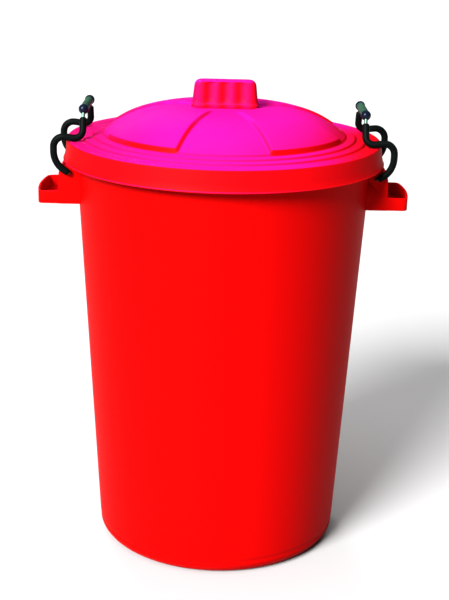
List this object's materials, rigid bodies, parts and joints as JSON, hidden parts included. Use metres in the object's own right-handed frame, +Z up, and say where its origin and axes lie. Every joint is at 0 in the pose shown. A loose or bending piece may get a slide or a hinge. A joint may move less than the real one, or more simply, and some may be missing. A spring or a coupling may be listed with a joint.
{
  "type": "round waste can with clip-down lid",
  "caption": "Tapered round plastic waste can with side handles and a domed lid held down by hinged wire clips.",
  "frame": {"origin": "middle of the can's foot, on the floor", "axes": "+Z up along the can's axis, +X through the right side handle and clip, -Y towards the viewer"},
  "size_m": [0.55, 0.475, 0.7106],
  "materials": {
    "red_can_plastic": "red moulded polyethylene, soft gloss",
    "red_lid_plastic": "red moulded polyethylene that looks pink where light falls on it from above",
    "zinc_wire": "bright zinc-plated spring wire",
    "black_sleeve": "matte black plastic sleeve",
    "gloss_black_plastic": "glossy blue-black plastic"
  },
  "bodies": {
    "can": {"can_body": "red_can_plastic", "left_handle": "red_can_plastic", "right_handle": "red_can_plastic"},
    "lid": {"lid": "red_lid_plastic"},
    "left_clip": {"left_clip_wire": "zinc_wire", "left_clip_bar_sleeve": "black_sleeve", "left_clip_front_sleeve": "black_sleeve", "left_clip_rear_sleeve": "black_sleeve", "left_clip_front_collar": "gloss_black_plastic", "left_clip_rear_collar": "gloss_black_plastic"},
    "right_clip": {"right_clip_wire": "zinc_wire", "right_clip_bar_sleeve": "black_sleeve", "right_clip_front_sleeve": "black_sleeve", "right_clip_rear_sleeve": "black_sleeve", "right_clip_front_collar": "gloss_black_plastic", "right_clip_rear_collar": "gloss_black_plastic"}
  },
  "joints": [
    {"name": "lid_lift", "type": "slide", "parent": "can", "child": "lid", "axis": [0, 0, 1], "range_m": [0, 0.6]},
    {"name": "left_clip_swing", "type": "hinge", "parent": "can", "child": "left_clip", "pos_m": [-0.222, 0, 0.5795], "axis": [0, -1, 0], "range_deg": [0, 146]},
    {"name": "right_clip_swing", "type": "hinge", "parent": "can", "child": "right_clip", "pos_m": [0.222, 0, 0.5795], "axis": [0, 1, 0], "range_deg": [0, 146]}
  ]
}
